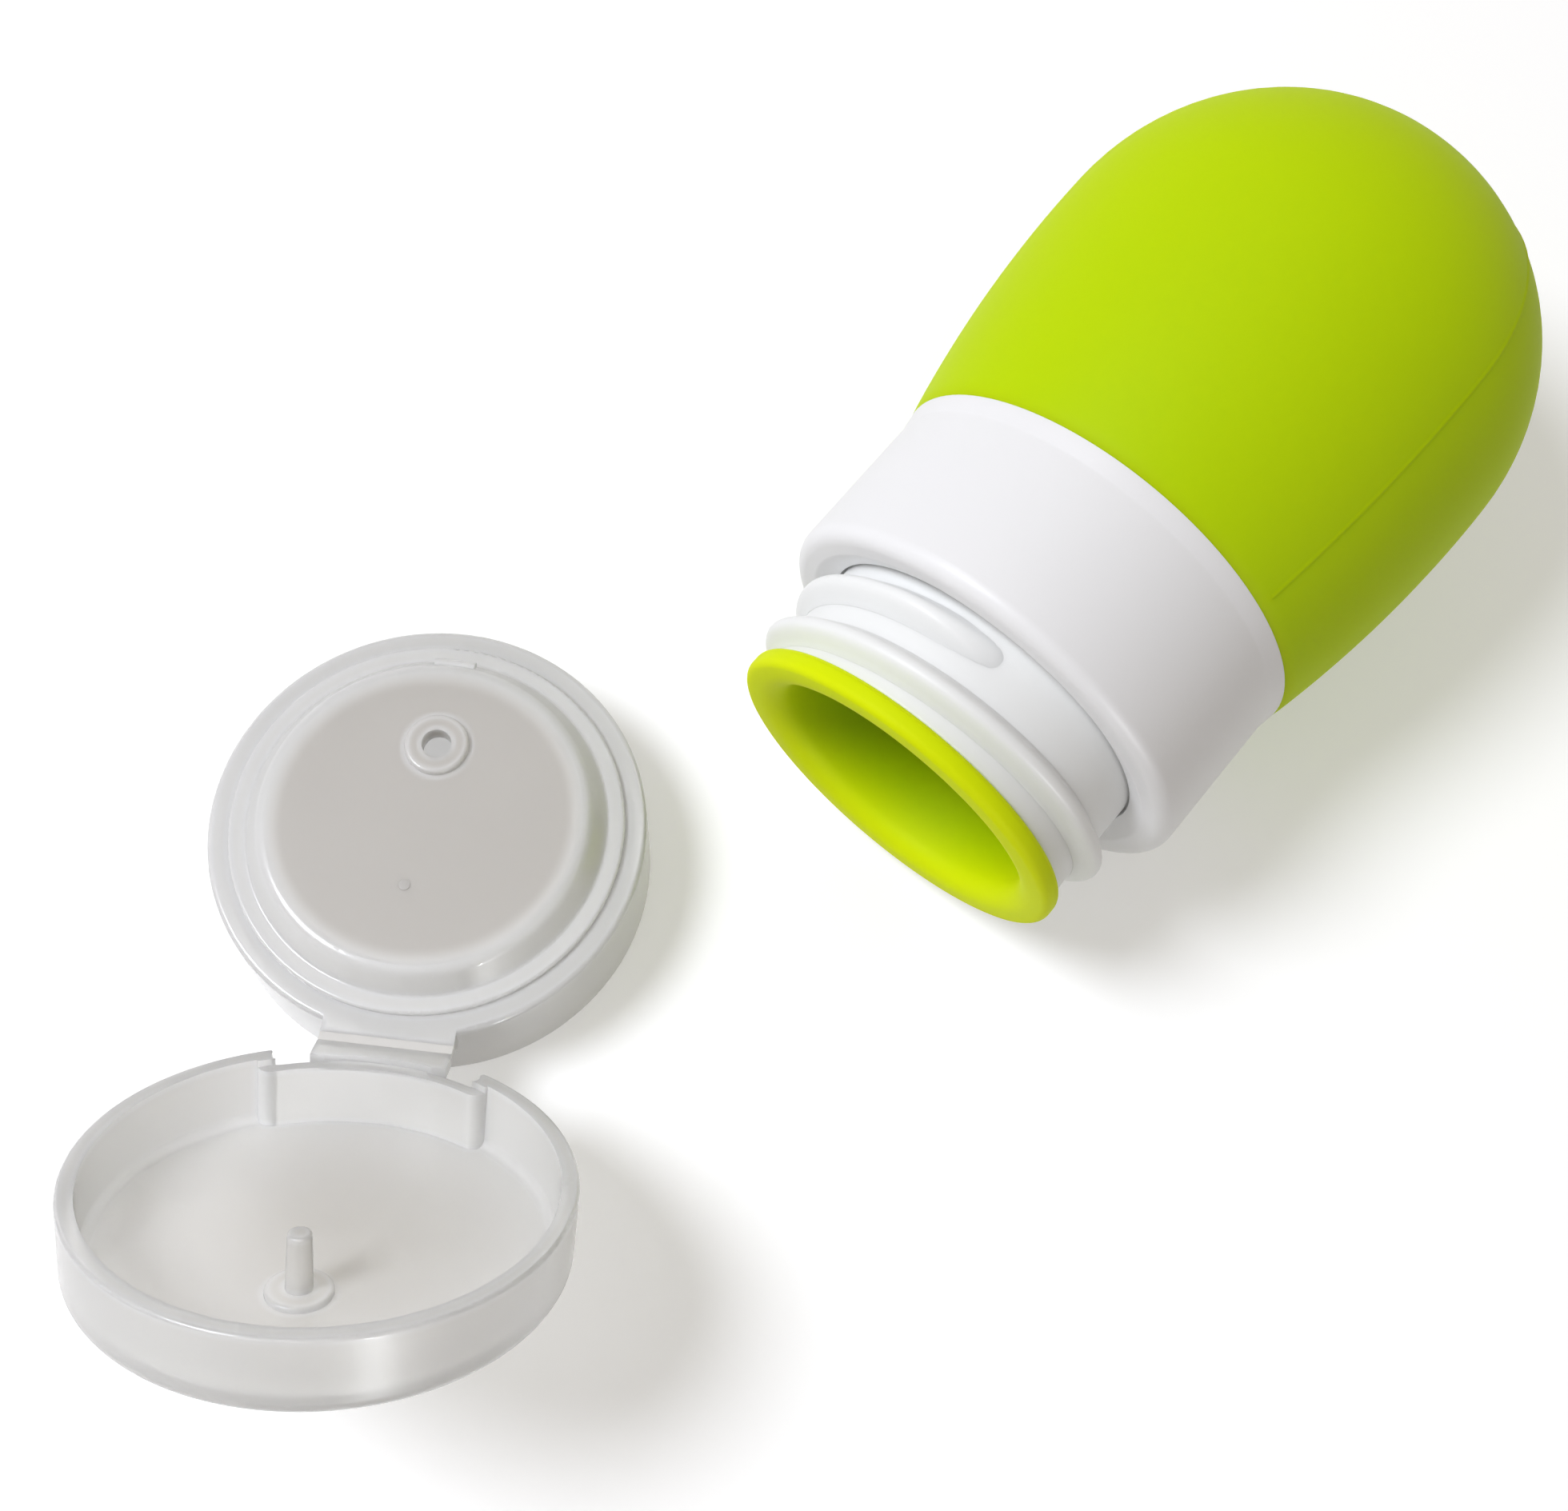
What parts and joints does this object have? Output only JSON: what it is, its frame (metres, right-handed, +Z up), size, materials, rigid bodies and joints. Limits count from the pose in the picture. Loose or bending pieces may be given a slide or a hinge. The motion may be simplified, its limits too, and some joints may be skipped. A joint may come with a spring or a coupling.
{
  "type": "travel silicone bottle",
  "caption": "Squeezable silicone travel bottle with a rigid collar and threaded neck, lying beside its unscrewed translucent flip-top cap, which stands open.",
  "frame": {"origin": "centre of the whole object's box, at the surface that the bottle and the cap lie on", "axes": "+Z up, +Y along the lying bottle from its mouth to its rounded end, +X across it"},
  "size_m": [0.0768, 0.1562, 0.0493],
  "materials": {
    "silicone_green": "soft matte lime-green silicone",
    "neck_white": "satin white plastic, faintly translucent",
    "collar_white": "satin opaque white plastic",
    "cap_translucent": "milky translucent polypropylene"
  },
  "bodies": {
    "bottle": {"silicone_body": "silicone_green", "threaded_neck": "neck_white", "collar": "collar_white"},
    "cap": {"cap_base": "cap_translucent", "hinge_strap": "cap_translucent"},
    "lid": {"flip_lid": "cap_translucent"}
  },
  "joints": [
    {"name": "cap_lift", "type": "slide", "parent": "bottle", "child": "cap", "axis": [0, 0, 1], "range_m": [0, 0.05]},
    {"name": "lid_flip", "type": "hinge", "parent": "cap", "child": "lid", "pos_m": [-0.007, -0.04592, 0.01045], "axis": [-0.8329, -0.5534, 0], "range_deg": [0, 136], "deforming": ["hinge_strap"]}
  ]
}
